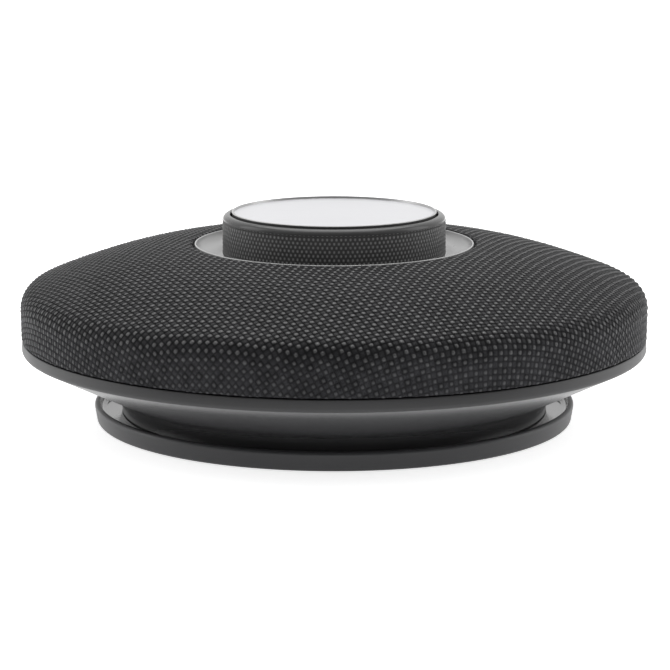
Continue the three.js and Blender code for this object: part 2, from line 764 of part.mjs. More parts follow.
function cellCylinder(radius, length, y) {
  const geometry = new THREE.CylinderGeometry(radius, radius, length, SIDES_MEDIUM);
  geometry.rotateZ(QUARTER_TURN);
  geometry.translate(0, y, CELL_Z);
  return toSolid(geometry);
}

const CELL_ROWS = [['front', -CELL_SPACING / 2], ['rear', CELL_SPACING / 2]];

function makeBatteryHolder() {
  const halfWidth = 21.4;
  let holder = block([-36, -halfWidth, CASING_FLOOR_TOP + GAP], [36, halfWidth, 13]);
  for (const [, y] of CELL_ROWS) {
    holder = holder.subtract(cellCylinder(CELL_RADIUS + GAP, CELL_LENGTH + 1, y));
  }
  return holder;
}

// A flat strap bent over both cells, like a bridge.
function makeBatteryStrap() {
  const outerHalf = 22.7;
  const innerHalf = 21.9;
  const top = CELL_Z + CELL_RADIUS + 1.2;
  const bottom = CASING_FLOOR_TOP + GAP;
  const outline = new THREE.Shape([
    point(-outerHalf, bottom),
    point(-innerHalf, bottom),
    point(-innerHalf, top - 0.8),
    point(innerHalf, top - 0.8),
    point(innerHalf, bottom),
    point(outerHalf, bottom),
    point(outerHalf, top),
    point(-outerHalf, top),
  ]);
  const width = 12;
  const geometry = new THREE.ExtrudeGeometry(outline, { depth: width, bevelEnabled: false });
  geometry.translate(0, 0, -width / 2);
  geometry.rotateX(QUARTER_TURN);
  geometry.rotateZ(QUARTER_TURN);
  return toSolid(geometry);
}

addMesh('battery_holder', makeBatteryHolder(), 'innerBlack');
addMesh('battery_strap', makeBatteryStrap(), 'steel');
for (const [row, y] of CELL_ROWS) {
  addMesh(`battery_cell_${row}`, cellCylinder(CELL_RADIUS, CELL_LENGTH, y), 'cell');
}

// ---------------------------------------------------------------- main board

const BOARD_BOTTOM = 31;
const BOARD_TOP = 32.4;

addMesh('main_board', block([-36, -27, BOARD_BOTTOM], [36, 27, BOARD_TOP]), 'board');
addMesh('shield_can', block([-16, -12, 28.2], [12, 12, BOARD_BOTTOM - 0.2]), 'steel');
addMesh('bluetooth_module', block([14, -22, BOARD_TOP + 0.2], [30, -10, BOARD_TOP + 2.4]), 'steel');

// A ribbon that drops from the encoder board through the deck and turns in over the main board.
function makeFlexCable() {
  const thick = 0.3;
  const half = thick / 2;
  const turnZ = BOARD_TOP + 0.5;
  const outline = new THREE.Shape([
    point(FLEX_Y - half, DECK_TOP + 0.3),
    point(FLEX_Y - half, turnZ),
    point(FLEX_Y + 6, turnZ),
    point(FLEX_Y + 6, turnZ + thick),
    point(FLEX_Y + half, turnZ + thick),
    point(FLEX_Y + half, DECK_TOP + 0.3),
  ]);
  const geometry = new THREE.ExtrudeGeometry(outline, { depth: FLEX_WIDTH, bevelEnabled: false });
  geometry.translate(0, 0, -FLEX_WIDTH / 2);
  geometry.rotateX(QUARTER_TURN);
  geometry.rotateZ(QUARTER_TURN);
  return toSolid(geometry);
}

addMesh('dial_flex_cable', makeFlexCable(), 'flex');

// ---------------------------------------------------------------- ports and buttons at the back

const PANEL_BACK = PANEL_Y - PANEL_THICKNESS;
const PORT_BOARD_BOTTOM = PORT_BOTTOM + GAP;
const PORT_BOARD_TOP = PORT_BOARD_BOTTOM + 0.8;
const SOCKET_Z = 21.6;
const SOCKET_WIDTH = 9;
const SOCKET_HEIGHT = 3.2;
const LAMP_X = -7.6;
const LAMP_RADIUS = 0.9;
const BUTTON_FLANGE_BACK = PANEL_BACK - GAP - 1.2;

// A rod along Y, between two places.
function rodAlongY(radius, x, z, yLow, yHigh) {
  const geometry = new THREE.CylinderGeometry(radius, radius, yHigh - yLow, SIDES_SMALL);
  geometry.translate(x, (yLow + yHigh) / 2, z);
  return toSolid(geometry);
}

function makeRearPanel() {
  const halfWidth = PORT_HALF_WIDTH - GAP;
  let panel = block(
    [-halfWidth, PANEL_BACK, PORT_BOTTOM + GAP],
    [halfWidth, PANEL_Y, PORT_TOP - GAP],
  );
  panel = panel.subtract(slot(
    SOCKET_WIDTH + 2 * GAP,
    SOCKET_HEIGHT + 0.2,
    0,
    SOCKET_Z,
    PANEL_BACK - 1,
    PANEL_Y + 1,
  ));
  for (const x of [-BUTTON_X, BUTTON_X]) {
    const [width, height] = [BUTTON_WIDTH + 2 * GAP, BUTTON_HEIGHT + 2 * GAP];
    panel = panel.subtract(slot(width, height, x, BUTTON_Z, PANEL_BACK - 1, PANEL_Y + 1));
  }
  return panel.subtract(rodAlongY(LAMP_RADIUS + GAP, LAMP_X, BUTTON_Z, PANEL_BACK - 1, PANEL_Y + 1));
}

function makeUsbSocket() {
  const front = PANEL_Y - 0.3;
  const shell = slot(SOCKET_WIDTH, SOCKET_HEIGHT, 0, SOCKET_Z, front - 7.4, front);
  const mouth = slot(SOCKET_WIDTH - 0.7, SOCKET_HEIGHT - 0.7, 0, SOCKET_Z, front - 6.4, front + 1);
  const tongue = block([-3.3, front - 7, SOCKET_Z - 0.35], [3.3, front - 1, SOCKET_Z + 0.35]);
  return shell.subtract(mouth).add(tongue);
}

// The cap stands proud of the panel, and a wider flange behind the panel keeps it in.
function makePushButton(x) {
  const cap = slot(BUTTON_WIDTH, BUTTON_HEIGHT, x, BUTTON_Z, BUTTON_FLANGE_BACK, PANEL_Y + 0.9);
  const flange = slot(
    BUTTON_WIDTH + 2,
    BUTTON_HEIGHT + 0.3,
    x,
    BUTTON_Z,
    BUTTON_FLANGE_BACK,
    PANEL_BACK - GAP,
    0.8,
  );
  return cap.add(flange);
}

function makeTactSwitch(x) {
  const front = BUTTON_FLANGE_BACK - BUTTON_TRAVEL - 0.1;
  const body = block([x - 2.6, front - 3, PORT_BOARD_TOP + 0.1], [x + 2.6, front - 0.6, 23]);
  return body.add(rodAlongY(1, x, BUTTON_Z, front - 1, front));
}

addMesh('rear_panel', makeRearPanel(), 'satinBlack');
addMesh('port_board', block([-24, 56, PORT_BOARD_BOTTOM], [24, 79.4, PORT_BOARD_TOP]), 'board');
addMesh('usb_socket', makeUsbSocket(), 'steel');
addMesh('status_light_pipe', rodAlongY(LAMP_RADIUS, LAMP_X, BUTTON_Z, PANEL_BACK - 3, PANEL_Y), 'lamp');
for (const [label, x] of [['power', BUTTON_X], ['pairing', -BUTTON_X]]) {
  addMesh(`${label}_button`, makePushButton(x), 'rubber');
  addMesh(`${label}_switch`, makeTactSwitch(x), 'innerBlack');
}

export default speaker;
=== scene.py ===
"""A round portable loudspeaker: the looks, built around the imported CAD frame.

Lengths in the outlines below are in millimetres, like the drawing of the object, and MM turns them into
metres where a mesh is made. +Z is up, and the front of the object faces -Y.
"""
import json
import math

import bpy
import numpy as np
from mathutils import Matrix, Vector


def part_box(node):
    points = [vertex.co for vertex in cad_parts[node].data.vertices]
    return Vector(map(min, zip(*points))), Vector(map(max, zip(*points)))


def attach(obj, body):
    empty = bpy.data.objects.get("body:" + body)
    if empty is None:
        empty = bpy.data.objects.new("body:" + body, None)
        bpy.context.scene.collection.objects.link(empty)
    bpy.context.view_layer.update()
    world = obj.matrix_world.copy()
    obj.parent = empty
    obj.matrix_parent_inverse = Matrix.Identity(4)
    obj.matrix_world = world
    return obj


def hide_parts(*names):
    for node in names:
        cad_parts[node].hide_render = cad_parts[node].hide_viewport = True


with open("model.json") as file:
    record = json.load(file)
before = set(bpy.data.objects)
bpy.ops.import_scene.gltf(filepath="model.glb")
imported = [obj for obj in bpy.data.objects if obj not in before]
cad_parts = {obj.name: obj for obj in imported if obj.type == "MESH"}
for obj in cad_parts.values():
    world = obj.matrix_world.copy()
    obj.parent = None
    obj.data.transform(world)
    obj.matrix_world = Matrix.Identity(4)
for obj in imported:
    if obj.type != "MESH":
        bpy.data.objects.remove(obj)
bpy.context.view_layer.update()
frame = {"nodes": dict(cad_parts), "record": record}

MM = 0.001


# ------------------------------------------------------------------ sizes, from the frame and the drawing

def span(node):
    """(low corner, high corner) of a CAD node, in millimetres."""
    low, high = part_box(node)
    return low / MM, high / MM


def radius_of(node):
    return span(node)[1].x


def bottom_of(node):
    return span(node)[0].z


def top_of(node):
    return span(node)[1].z


BODY_RADIUS = radius_of("fabric_cover")
SEAM_Z = top_of("lower_casing")
SEAM_RADIUS = BODY_RADIUS - 0.3
FOOT_LIP_RADIUS = radius_of("foot_base")
FOOT_LIP_TOP = top_of("foot_base")
FOOT_BOTTOM = bottom_of("foot_base")
FOOT_FLOOR = FOOT_LIP_TOP - 2.8
PAD_OUTER_RADIUS = radius_of("foot_pad")
PAD_INNER_RADIUS = PAD_OUTER_RADIUS - 16
DIAL_RADIUS = radius_of("volume_knob")
DIAL_TOP = top_of("volume_knob")
DIAL_BOTTOM = 48.2
DIAL_OPENING_RADIUS = DIAL_RADIUS - 2.2
HUB_RADIUS = 23.8
HUB_BORE_RADIUS = 20.6
HUB_BOTTOM = bottom_of("volume_knob")
PLATE_RADIUS = radius_of("top_plate")
PLATE_TOP = top_of("top_plate")
PLATE_BOTTOM = bottom_of("top_plate")
PLATE_LIP_HEIGHT = 0.7
DISH_RADIUS = radius_of("recess_dish")
DISH_RIM_Z = top_of("recess_dish")
DISH_BOTTOM = bottom_of("recess_dish")
DISH_FLOOR = 47.5
DISH_FLOOR_RADIUS = 34

# The outside of the fabric: an upright wall, a round shoulder and a domed crown.
WALL_TOP = 33.6
SHOULDER_RADIUS = 7.1
CROWN_SLOPE = math.radians(21.9)
CROWN_OUTER_PULL = 10.2
CROWN_INNER_PULL = 17.5
RIM_SLOPE = math.radians(1.5)
RIM_RADIUS = DISH_RADIUS + 0.55
RIM_Z = DISH_RIM_Z + 0.1

# The outside of the lower casing.
BAND_BOTTOM = 21.6
CONE_SLOPE = math.radians(26)
NECK_RADIUS = 61.4
COVE_RADIUS = 6
BEAD_Z = 7.3
CASING_WALL = 2.2
SHELF_DROP = 0.9
SHELF_INNER_RADIUS = 81.5

# Clearance between neighbouring pieces, and the facets of the largest turned pieces.
PIECE_GAP = 0.3
FINE_SIDES = 256

# How far the fabric goes down behind the rim of the dish, and how it turns under at the seam.
RIM_TUCK = 2.2
HEM_RADIUS = 0.45
HEM_GAP = 0.2

# The weave: floats of one set of yarns lie on a square lattice, turned a little about Z. The other set's
# floats lie in the middles of its squares, and stand lower. Lengths and widths are shares of FLOAT_SPACING.
FLOAT_SPACING = 2.25
WEAVE_TURN = math.radians(-19)
QUADS_PER_FLOAT = 4
YARN_WANDER = 0.17
FLOAT_LENGTH = 0.36
FLOAT_WIDTH = 0.24
HIGH_FLOAT_LIFT = 0.50
LOW_FLOAT_LIFT = 0.15
LIFT_VARIATION = 0.2
CLOTH_SINK = 0.15
WALL_FLATTENING = 0.5

# The knurl of the dial: columns of nubs round it, staggered from row to row.
KNURL_COLUMNS = 156
KNURL_ROW = 2.3
KNURL_DEPTH = 0.2
KNURL_BOTTOM = DIAL_BOTTOM + 0.9
KNURL_CHECKER_SHARE = 0.55


# ------------------------------------------------------------------ outlines

def fillet(corners, steps=5):
    """An outline from (radius, height, rounding) corners: each corner is rounded by an arc of that radius."""
    points = []
    count = len(corners)
    for i, (r, z, rounding) in enumerate(corners):
        here = Vector((r, z))
        if rounding <= 0 or i in (0, count - 1):
            points.append((r, z))
            continue
        before = (Vector(corners[i - 1][:2]) - here).normalized()
        after = (Vector(corners[i + 1][:2]) - here).normalized()
        half = before.angle(after) / 2
        centre = here + (before + after).normalized() * (rounding / math.sin(half))
        start = here + before * (rounding / math.tan(half)) - centre
        turn = start.angle_signed(here + after * (rounding / math.tan(half)) - centre)
        for k in range(steps + 1):
            angle = -turn * k / steps
            spun = Vector((
                start.x * math.cos(angle) - start.y * math.sin(angle),
                start.x * math.sin(angle) + start.y * math.cos(angle),
            ))
            points.append(tuple(centre + spun))
    return points


def fabric_line():
    """The fabric's outer line as a dense list of points, from the rim of the recess down to the seam,
    with its edges rolled in: down behind the rim of the dish, and under at the seam."""
    centre = Vector((BODY_RADIUS - SHOULDER_RADIUS, WALL_TOP))
    start_angle = math.pi / 2 - CROWN_SLOPE
    shoulder_end = centre + SHOULDER_RADIUS * Vector((math.cos(start_angle), math.sin(start_angle)))
    rim = Vector((RIM_RADIUS, RIM_Z))
    pull_in = rim + CROWN_INNER_PULL * Vector((math.cos(RIM_SLOPE), -math.sin(RIM_SLOPE)))
    pull_out = shoulder_end + CROWN_OUTER_PULL * Vector((-math.cos(CROWN_SLOPE), math.sin(CROWN_SLOPE)))
    points = [Vector((RIM_RADIUS - 0.05, RIM_Z - RIM_TUCK)), Vector((RIM_RADIUS - 0.1, RIM_Z - 1.2))]
    roll = 0.8
    for k in range(1, 6):
        angle = math.pi - (math.pi / 2 - RIM_SLOPE) * k / 6
        points.append(rim + Vector((roll, -roll)) + roll * Vector((math.cos(angle), math.sin(angle))))
    crown_start = 0.02
    for k in range(60):
        t = crown_start + (1 - crown_start) * k / 60
        u = 1 - t
        ends = u ** 3 * rim + t ** 3 * shoulder_end
        points.append(ends + 3 * u * t * (u * pull_in + t * pull_out))
    for k in range(16):
        angle = start_angle * (1 - k / 15)
        points.append(centre + SHOULDER_RADIUS * Vector((math.cos(angle), math.sin(angle))))
    foot_of_wall = Vector((BODY_RADIUS - 0.05, SEAM_Z + HEM_GAP + HEM_RADIUS))
    hem_centre = foot_of_wall + Vector((-HEM_RADIUS, 0))
    points.append(foot_of_wall)
    for k in range(1, 6):
        angle = -(math.pi / 2) * k / 5
        points.append(hem_centre + HEM_RADIUS * Vector((math.cos(angle), math.sin(angle))))
    points.append(Vector((BODY_RADIUS - 1.8, SEAM_Z + HEM_GAP)))
    return np.array([tuple(p) for p in points])


def cone_height(radius):
    """The height of the outside of the cone, which rises outwards to the bottom of the band."""
    return BAND_BOTTOM - (BODY_RADIUS - radius) * math.tan(CONE_SLOPE)


def casing_line():
    """The outside of the lower casing, from the foot of the neck up to the fabric seam."""
    turn = math.pi / 2 - CONE_SLOPE
    centre = Vector((NECK_RADIUS + COVE_RADIUS, cone_height(NECK_RADIUS) - COVE_RADIUS * math.tan(turn / 2)))
    bead = 0.6
    points = [(NECK_RADIUS, FOOT_FLOOR + PIECE_GAP), (NECK_RADIUS, BEAD_Z - 2 * bead)]
    for k in range(1, 6):
        angle = (k / 6 - 0.5) * math.pi
        points.append((NECK_RADIUS + bead * math.cos(angle), BEAD_Z + 1.6 * bead * math.sin(angle)))
    for k in range(13):
        angle = math.pi - turn * k / 12
        points.append(tuple(centre + COVE_RADIUS * Vector((math.cos(angle), math.sin(angle)))))
    band = [
        (BODY_RADIUS - 8, cone_height(BODY_RADIUS - 8), 0),
        (BODY_RADIUS, BAND_BOTTOM, 1.2),
        (SEAM_RADIUS + 0.05, SEAM_Z, 0.35),
        (SEAM_RADIUS - 2.4, SEAM_Z, 0),
    ]
    return points + fillet(band)


# ------------------------------------------------------------------ mesh building

def new_object(name, vertices, faces, uv=None):
    """A smooth-shaded mesh object from vertices in millimetres."""
    mesh = bpy.data.meshes.new(name)
    mesh.from_pydata([(x * MM, y * MM, z * MM) for x, y, z in vertices], [], faces)
    if uv is not None:
        layer = mesh.uv_layers.new(name="sheet")
        corners = np.zeros(len(mesh.loops), np.int64)
        mesh.loops.foreach_get("vertex_index", corners)
        layer.data.foreach_set("uv", np.asarray(uv, np.float32)[corners].ravel())
    mesh.polygons.foreach_set("use_smooth", [True] * len(mesh.polygons))
    mesh.update()
    obj = bpy.data.objects.new(name, mesh)
    bpy.context.scene.collection.objects.link(obj)
    return obj


def sharpen(obj, degrees=35):
    """Makes the edges sharp that turn by more than this angle."""
    obj.data.set_sharp_from_angle(angle=math.radians(degrees))
    return obj


def lathe(name, outline, sides=192):
    """A closed solid turned about Z. The outline closes on itself, or starts and ends on the axis."""
    vertices = []
    rings = []
    for r, z in outline:
        if r < 1e-6:
            rings.append([len(vertices)] * sides)
            vertices.append((0, 0, z))
            continue
        rings.append(list(range(len(vertices), len(vertices) + sides)))
        for k in range(sides):
            angle = 2 * math.pi * k / sides
            vertices.append((r * math.cos(angle), r * math.sin(angle), z))
    closed = outline[0][0] > 1e-6
    pairs = list(zip(rings, rings[1:]))
    if closed:
        pairs.append((rings[-1], rings[0]))
    faces = []
    for low, high in pairs:
        for k in range(sides):
            n = (k + 1) % sides
            corners = [low[k], low[n], high[n], high[k]]
            unique = list(dict.fromkeys(corners))
            if len(unique) > 2:
                faces.append(unique)
    obj = new_object(name, vertices, faces)
    outwards(obj)
    return sharpen(obj)


def outwards(obj):
    """Turns the faces out if the mesh encloses a negative volume."""
    mesh = obj.data
    mesh.calc_loop_triangles()
    co = np.array([v.co for v in mesh.vertices])
    tri = np.array([t.vertices for t in mesh.loop_triangles])
    a, b, c = co[tri[:, 0]], co[tri[:, 1]], co[tri[:, 2]]
    if np.einsum("ij,ij->i", a, np.cross(b, c)).sum() < 0:
        mesh.flip_normals()


def box_object(name, low, high):
    corners = [(x, y, z) for x in (low[0], high[0]) for y in (low[1], high[1]) for z in (low[2], high[2])]
    faces = [(0, 1, 3, 2), (4, 6, 7, 5), (0, 4, 5, 1), (2, 3, 7, 6), (0, 2, 6, 4), (1, 5, 7, 3)]
    obj = new_object(name, corners, faces)
    outwards(obj)
    return obj


def rounded_box(name, low, high, rounding, steps=5):
    """A bar along Y with rounded corners in its XZ section."""
    corners = []
    for cx, cz, start in (
        (high[0] - rounding, high[2] - rounding, 0),
        (low[0] + rounding, high[2] - rounding, 1),
        (low[0] + rounding, low[2] + rounding, 2),
        (high[0] - rounding, low[2] + rounding, 3),
    ):
        for k in range(steps + 1):
            angle = (start + k / steps) * math.pi / 2
            corners.append((cx + rounding * math.cos(angle), cz + rounding * math.sin(angle)))
    count = len(corners)
    vertices = [(x, y, z) for y in (low[1], high[1]) for x, z in corners]
    faces = [[k, (k + 1) % count, count + (k + 1) % count, count + k] for k in range(count)]
    faces += [list(range(count))[::-1], list(range(count, 2 * count))]
    obj = new_object(name, vertices, faces)
    outwards(obj)
    return obj


def boolean(target, tool, operation):
    """Joins or cuts target by tool, and removes the tool."""
    modifier = target.modifiers.new("boolean", "BOOLEAN")
    modifier.operation = operation
    modifier.solver = "EXACT"
    modifier.object = tool
    bpy.context.view_layer.update()
    result = bpy.data.meshes.new_from_object(target.evaluated_get(bpy.context.evaluated_depsgraph_get()))
    old = target.data
    target.modifiers.clear()
    target.data = result
    bpy.data.meshes.remove(old)
    bpy.data.objects.remove(tool)
    return target


def bevelled_copy(node, name, width, segments=3):
    """A copy of a CAD node's mesh with its edges rounded, to be shown in its place."""
    obj = bpy.data.objects.new(name, frame["nodes"][node].data.copy())
    bpy.context.scene.collection.objects.link(obj)
    weld = obj.modifiers.new("weld", "WELD")
    weld.merge_threshold = 0.00001
    flat = obj.modifiers.new("flat", "DECIMATE")
    flat.decimate_type = "DISSOLVE"
    flat.angle_limit = math.radians(1)
    bevel = obj.modifiers.new("bevel", "BEVEL")
    bevel.width = width * MM
    bevel.segments = segments
    bevel.limit_method = "ANGLE"
    bevel.angle_limit = math.radians(30)
    bpy.context.view_layer.update()
    result = bpy.data.meshes.new_from_object(obj.evaluated_get(bpy.context.evaluated_depsgraph_get()))
    obj.modifiers.clear()
    obj.data = result
    result.polygons.foreach_set("use_smooth", [True] * len(result.polygons))
    sharpen(obj, 40)
    return obj


# ------------------------------------------------------------------ materials

class Graph:
    """A small helper for writing a Principled material's nodes."""

    def __init__(self, name, **sockets):
        self.material = bpy.data.materials.new(name)
        self.material.use_nodes = True
        self.tree = self.material.node_tree
        self.shader = self.tree.nodes["Principled BSDF"]
        for socket, value in sockets.items():
            self.shader.inputs[socket.replace("_", " ")].default_value = value
        self.coordinates = self.tree.nodes.new("ShaderNodeTexCoord")

    def node(self, kind, **settings):
        made = self.tree.nodes.new(kind)
        for key, value in settings.items():
            setattr(made, key, value)
        return made

    def link(self, source, target):
        self.tree.links.new(source, target)

    def noise(self, scale, detail=3):
        """Smooth noise from 0 to 1; scale counts its swells per metre."""
        texture = self.node("ShaderNodeTexNoise")
        texture.inputs["Scale"].default_value = scale
        texture.inputs["Detail"].default_value = detail
        self.link(self.coordinates.outputs["Object"], texture.inputs["Vector"])
        return texture.outputs["Fac"]

    def ramp(self, value, stops):
        """A colour ramp; stops are (place, grey or (r, g, b))."""
        made = self.node("ShaderNodeValToRGB")
        elements = made.color_ramp.elements
        while len(elements) < len(stops):
            elements.new(0.5)
        for element, (place, shade) in zip(elements, stops):
            element.position = place
            rgb = (shade,) * 3 if isinstance(shade, (int, float)) else shade
            element.color = (*rgb, 1)
        self.link(value, made.inputs["Fac"])
        return made.outputs["Color"]

    def multiply(self, colour, by):
        mixed = self.node("ShaderNodeMix", data_type="RGBA", blend_type="MULTIPLY")
        mixed.inputs["Factor"].default_value = 1
        self.link(colour, mixed.inputs["A"])
        self.link(by, mixed.inputs["B"])
        return mixed.outputs["Result"]

    def spread(self, value, low, high):
        """value, from 0 to 1, mapped to a range."""
        made = self.node("ShaderNodeMapRange")
        made.inputs["To Min"].default_value = low
        made.inputs["To Max"].default_value = high
        self.link(value, made.inputs["Value"])
        return made.outputs["Result"]

    def maths(self, operation, a, b=None):
        made = self.node("ShaderNodeMath", operation=operation)
        for socket, value in zip(made.inputs, (a, b)):
            if value is None:
                continue
            if isinstance(value, (int, float)):
                socket.default_value = value
            else:
                self.link(value, socket)
        return made.outputs["Value"]

    def bump(self, height, distance, strength=1.0, before=None):
        made = self.node("ShaderNodeBump")
        made.inputs["Strength"].default_value = strength
        made.inputs["Distance"].default_value = distance
        self.link(height, made.inputs["Height"])
        if before is not None:
            self.link(before, made.inputs["Normal"])
        return made.outputs["Normal"]

    def base(self, colour):
        self.link(colour, self.shader.inputs["Base Color"])

    def rough(self, value):
        self.link(value, self.shader.inputs["Roughness"])

    def normal(self, value):
        self.link(value, self.shader.inputs["Normal"])


def uv_waves(g, uv_name):
    """A UV map, and cosine waves along its two axes with one wave to each unit."""
    uv = g.node("ShaderNodeUVMap", uv_map=uv_name).outputs["UV"]
    split = g.node("ShaderNodeSeparateXYZ")
    g.link(uv, split.inputs["Vector"])
    along_u, along_v = (
        g.maths("COSINE", g.maths("MULTIPLY", split.outputs[axis], 2 * math.pi)) for axis in ("X", "Y"))
    return uv, along_u, along_v


def shade_per_float(g, uv):
    """A random shade for each float, up to a quarter lighter or darker."""
    centred = g.node("ShaderNodeVectorMath", operation="ADD")
    centred.inputs[1].default_value = (0.5, 0.5, 0)
    nearest = g.node("ShaderNodeVectorMath", operation="FLOOR")
    each = g.node("ShaderNodeTexWhiteNoise", noise_dimensions="2D")
    g.link(uv, centred.inputs[0])
    g.link(centred.outputs["Vector"], nearest.inputs[0])
    g.link(nearest.outputs["Vector"], each.inputs["Vector"])
    return g.ramp(each.outputs["Value"], [(0.0, 0.75), (1.0, 1.25)])


def fibre_bump(g, uv, weave, grain):
    """Twisted fibres along the yarns, on the swell of each float."""
    twist = g.node("ShaderNodeTexWave", wave_type="BANDS", bands_direction="DIAGONAL")
    twist.inputs["Scale"].default_value = 2.2
    twist.inputs["Distortion"].default_value = 1.5
    g.link(uv, twist.inputs["Vector"])
    fibres = g.bump(g.maths("ADD", twist.outputs["Fac"], grain), 0.00006, 0.6)
    return g.bump(g.maths("POWER", g.maths("ABSOLUTE", weave), 0.7), 0.00025, 0.7, fibres)


def fabric_material():
    """Plain-woven speaker cloth: its weave value is near 1 on one set of floats, -1 on the other."""
    g = Graph("speaker_cloth", Sheen_Weight=0.02, Sheen_Roughness=0.5)
    uv, wave_u, wave_v = uv_waves(g, "sheet")
    weave = g.maths("MULTIPLY", g.maths("ADD", wave_u, wave_v), 0.5)
    place = g.maths("ADD", g.maths("MULTIPLY", weave, 0.5), 0.5)
    grain = g.noise(900, 2)
    lit = g.maths("ADD", place, g.maths("MULTIPLY", g.maths("SUBTRACT", grain, 0.5), 0.3))
    # the ramp paints shade into the gaps between the yarns and a lighter painted highlight on the tops of the
    # high floats
    colour = g.ramp(lit, [
        (0.0, (0.020, 0.020, 0.022)),
        (0.30, (0.021, 0.021, 0.0225)),
        (0.52, (0.0135, 0.0135, 0.0145)),
        (0.70, (0.017, 0.017, 0.018)),
        (0.88, (0.019, 0.019, 0.0207)),
        (1.0, (0.025, 0.025, 0.027)),
    ])
    shine = g.ramp(lit, [(0.0, 0.12), (0.5, 0.0), (0.70, 0.12), (0.92, 0.95)])

    # below the shoulder the cloth has less specular than on the crown, and its colour is painted paler on the
    # wall and darker on the crown: painted light and shade for how the light falls on each
    position = g.node("ShaderNodeSeparateXYZ")
    g.link(g.coordinates.outputs["Object"], position.inputs["Vector"])
    height_share = g.maths("MULTIPLY", position.outputs["Z"], 1 / (RIM_Z * MM))
    duller_wall = g.ramp(height_share, [(0.62, 0.3), (0.74, 1.0)])
    painted_light_by_height = g.ramp(height_share, [(0.62, 1.3), (0.74, 0.7)])

    # drift is a random tone times the painted light and shade by height
    drift = g.multiply(painted_light_by_height, g.ramp(g.noise(60, 3), [(0.3, 0.85), (0.7, 1.1)]))
    g.base(g.multiply(g.multiply(colour, shade_per_float(g, uv)), drift))
    g.rough(g.spread(grain, 0.36, 0.5))
    g.link(g.maths("MULTIPLY", shine, duller_wall), g.shader.inputs["Specular IOR Level"])
    g.normal(fibre_bump(g, uv, weave, grain))
    return g.material


def knurl_material():
    """Satin plastic, with painted highlights on the tops of the knurl's nubs and painted shade in its
    grooves.
    """
    g = Graph("knurled_satin", Specular_IOR_Level=0.4)
    around, up = uv_waves(g, "knurl")[1:]
    dots = g.maths("MULTIPLY", g.maths("MULTIPLY", around, up), KNURL_CHECKER_SHARE)
    rows = g.maths("MULTIPLY", g.maths("ABSOLUTE", up), 1 - KNURL_CHECKER_SHARE)
    nub = g.maths("ADD", dots, rows)
    grain = g.noise(700, 2)
    place = g.maths("ADD", nub, g.maths("MULTIPLY", g.maths("SUBTRACT", grain, 0.5), 0.15))
    # the ramp paints shade into the knurl's grooves and a painted highlight on its nub tops
    g.base(g.ramp(place, [(0.0, 0.012), (0.2, 0.02), (0.45, 0.042), (0.7, 0.115), (1.0, 0.145)]))
    g.rough(g.spread(g.noise(120, 3), 0.40, 0.5))
    g.normal(g.bump(g.noise(4200, 2), 0.00001, 0.3))
    return g.material


def moulded_material(name, dark, light, rough_low, rough_high, grain_height=0.00001, coat=0.0, shine=0.5):
    """Moulded plastic: a faint drift of colour and roughness, and a fine grain unless its height is 0."""
    g = Graph(name, Coat_Weight=coat, Coat_Roughness=0.06, Specular_IOR_Level=shine)
    g.base(g.ramp(g.noise(35, 4), [(0.3, dark), (0.7, light)]))
    g.rough(g.spread(g.noise(140, 4), rough_low, rough_high))
    if grain_height:
        g.normal(g.bump(g.noise(4200, 2), grain_height, 0.35))
    return g.material


def metal_material(name, dark, light, rough_low, rough_high, scale=300, grain=0.000004, metallic=1.0):
    """Metal, or a metallic coating where metallic is under 1, with a fine uneven finish."""
    g = Graph(name, Metallic=metallic)
    g.base(g.ramp(g.noise(25, 3), [(0.3, dark), (0.7, light)]))
    lines = g.noise(scale, 3)
    g.rough(g.spread(lines, rough_low, rough_high))
    g.normal(g.bump(lines, grain, 0.3))
    return g.material


def board_material():
    """Circuit board: green solder mask in small fields with paler lines between them."""
    g = Graph("circuit_board", Coat_Weight=0.3, Coat_Roughness=0.2)
    brick = g.node("ShaderNodeTexBrick")
    brick.inputs["Scale"].default_value = 320
    brick.inputs["Mortar Size"].default_value = 0.03
    brick.inputs["Color1"].default_value = (0.008, 0.09, 0.035, 1)
    brick.inputs["Color2"].default_value = (0.01, 0.11, 0.045, 1)
    brick.inputs["Mortar"].default_value = (0.05, 0.2, 0.09, 1)
    g.link(g.coordinates.outputs["Object"], brick.inputs["Vector"])
    g.base(brick.outputs["Color"])
    g.rough(g.spread(g.noise(200, 3), 0.35, 0.6))
    g.normal(g.bump(brick.outputs["Fac"], 0.00003, 0.5))
    return g.material


